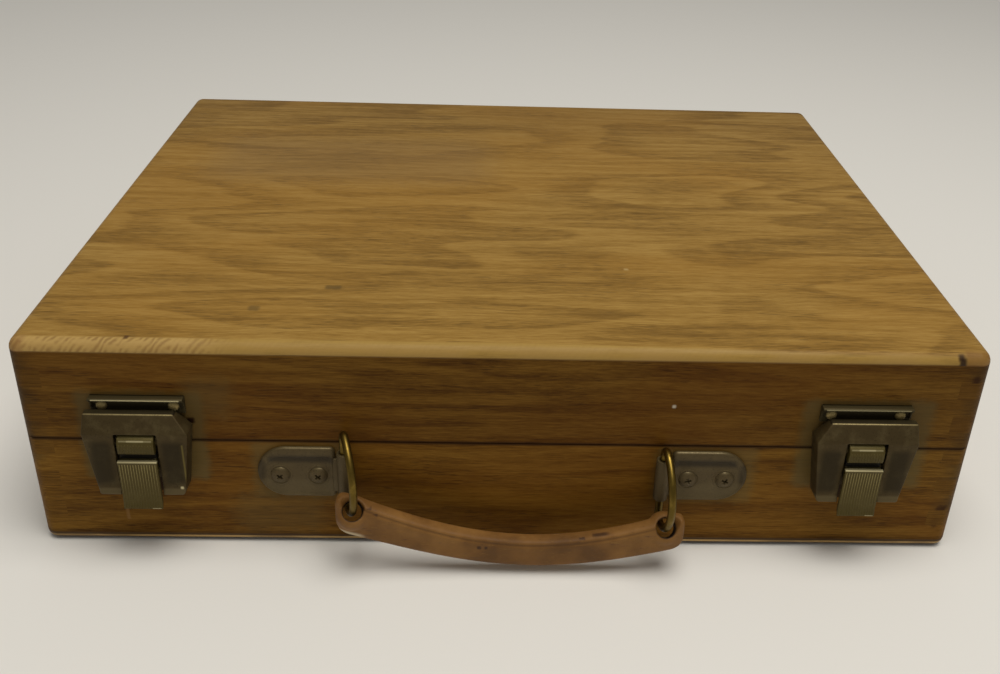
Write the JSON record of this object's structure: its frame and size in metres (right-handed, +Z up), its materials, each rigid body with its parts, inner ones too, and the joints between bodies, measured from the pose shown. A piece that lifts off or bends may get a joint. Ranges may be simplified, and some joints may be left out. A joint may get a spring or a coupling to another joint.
{
  "type": "artist paint box",
  "caption": "Small oak artist's paint box with finger joints, aged brass toggle catches and a leather handle; it opens on a divided tray, with a palette held in the lid.",
  "frame": {"origin": "middle of the case's flat underside", "axes": "+X along the case's width to the right of someone facing the catches, +Y from the catches to the hinges, +Z up"},
  "size_m": [0.324, 0.2704, 0.0825],
  "materials": {
    "oak": "aged varnish",
    "oak_plywood": "worn varnish",
    "inner_wood": "bare",
    "palette_wood": "oiled",
    "aged_brass": "tarnished",
    "brass": "dull",
    "leather": "worn, scuffed"
  },
  "bodies": {
    "base": {"base_bottom_panel": "oak_plywood", "base_front_wall": "oak", "base_back_wall": "oak", "base_left_wall": "oak", "base_right_wall": "oak", "brush_divider": "inner_wood", "tube_divider_left": "inner_wood", "tube_divider_right": "inner_wood", "hinge_left_base_leaf": "brass", "hinge_right_base_leaf": "brass", "hinge_left_pin": "brass", "hinge_right_pin": "brass", "hinge_screws_base": "brass", "handle_plate_left": "aged_brass", "handle_plate_right": "aged_brass", "handle_plate_screws": "aged_brass", "stay_stud": "brass", "catch_left_base_plate": "aged_brass", "catch_left_base_rivets": "aged_brass", "catch_left_pivot_pin": "aged_brass", "catch_right_base_plate": "aged_brass", "catch_right_base_rivets": "aged_brass", "catch_right_pivot_pin": "aged_brass"},
    "lid": {"lid_top_panel": "oak_plywood", "lid_front_wall": "oak", "lid_back_wall": "oak", "lid_left_wall": "oak", "lid_right_wall": "oak", "palette_rail_front": "inner_wood", "palette_rail_back": "inner_wood", "palette": "palette_wood", "turn_button_screw_front": "brass", "turn_button_screw_back": "brass", "hinge_left_lid_leaf": "brass", "hinge_right_lid_leaf": "brass", "hinge_screws_lid": "brass", "stay_pivot_screw": "brass", "catch_left_strike": "aged_brass", "catch_left_strike_rivets": "aged_brass", "catch_right_strike": "aged_brass", "catch_right_strike_rivets": "aged_brass"},
    "lever_left": {"catch_left_lever": "aged_brass", "catch_left_link_pin": "aged_brass"},
    "lever_right": {"catch_right_lever": "aged_brass", "catch_right_link_pin": "aged_brass"},
    "draw_plate_left": {"catch_left_draw_plate": "aged_brass"},
    "draw_plate_right": {"catch_right_draw_plate": "aged_brass"},
    "turn_button_front": {"turn_button_front": "brass"},
    "turn_button_back": {"turn_button_back": "brass"},
    "stay": {"stay_arm": "brass"},
    "ring_left": {"handle_ring_left": "aged_brass"},
    "ring_right": {"handle_ring_right": "aged_brass"},
    "handle": {"handle": "leather"}
  },
  "joints": [
    {"name": "lid_hinge", "type": "hinge", "parent": "base", "child": "lid", "pos_m": [0, 0.121, 0.04465], "axis": [-1, 0, 0], "range_deg": [0, 100]},
    {"name": "stay_turn", "type": "hinge", "parent": "lid", "child": "stay", "pos_m": [0.1512, 0.0996, 0.0516], "axis": [-1, 0, 0], "range_deg": [-50, 0]},
    {"name": "lever_left_turn", "type": "hinge", "parent": "base", "child": "lever_left", "pos_m": [-0.122, -0.1286, 0.048], "axis": [-1, 0, 0], "range_deg": [0, 125]},
    {"name": "draw_plate_left_turn", "type": "hinge", "parent": "lever_left", "child": "draw_plate_left", "pos_m": [-0.122, -0.1282, 0.04], "axis": [-1, 0, 0], "range_deg": [-125, 0]},
    {"name": "lever_right_turn", "type": "hinge", "parent": "base", "child": "lever_right", "pos_m": [0.122, -0.1286, 0.048], "axis": [-1, 0, 0], "range_deg": [0, 125]},
    {"name": "draw_plate_right_turn", "type": "hinge", "parent": "lever_right", "child": "draw_plate_right", "pos_m": [0.122, -0.1282, 0.04], "axis": [-1, 0, 0], "range_deg": [-125, 0]},
    {"name": "turn_button_front_turn", "type": "hinge", "parent": "lid", "child": "turn_button_front", "pos_m": [0, -0.1105, 0.0665], "axis": [0, 0, 1], "range_deg": [-90, 90]},
    {"name": "turn_button_back_turn", "type": "hinge", "parent": "lid", "child": "turn_button_back", "pos_m": [0, 0.1105, 0.0665], "axis": [0, 0, 1], "range_deg": [-90, 90]},
    {"name": "ring_left_turn", "type": "hinge", "parent": "base", "child": "ring_left", "pos_m": [-0.0546, -0.1271, 0.0362], "axis": [0, 0, 1], "range_deg": [-6, 6]},
    {"name": "ring_right_turn", "type": "hinge", "parent": "base", "child": "ring_right", "pos_m": [0.0546, -0.1271, 0.0311], "axis": [0, 0, 1], "range_deg": [-6, 6]},
    {"name": "handle_swing", "type": "hinge", "parent": "base", "child": "handle", "pos_m": [0, -0.1271, 0.03365], "axis": [-0.9989, 0, 0.0467], "range_deg": [0, 90]}
  ],
  "couplings": [
    {"joint": "stay_turn", "follows": "lid_hinge", "ratio": -0.5},
    {"joint": "draw_plate_left_turn", "follows": "lever_left_turn", "ratio": -1},
    {"joint": "draw_plate_right_turn", "follows": "lever_right_turn", "ratio": -1}
  ]
}
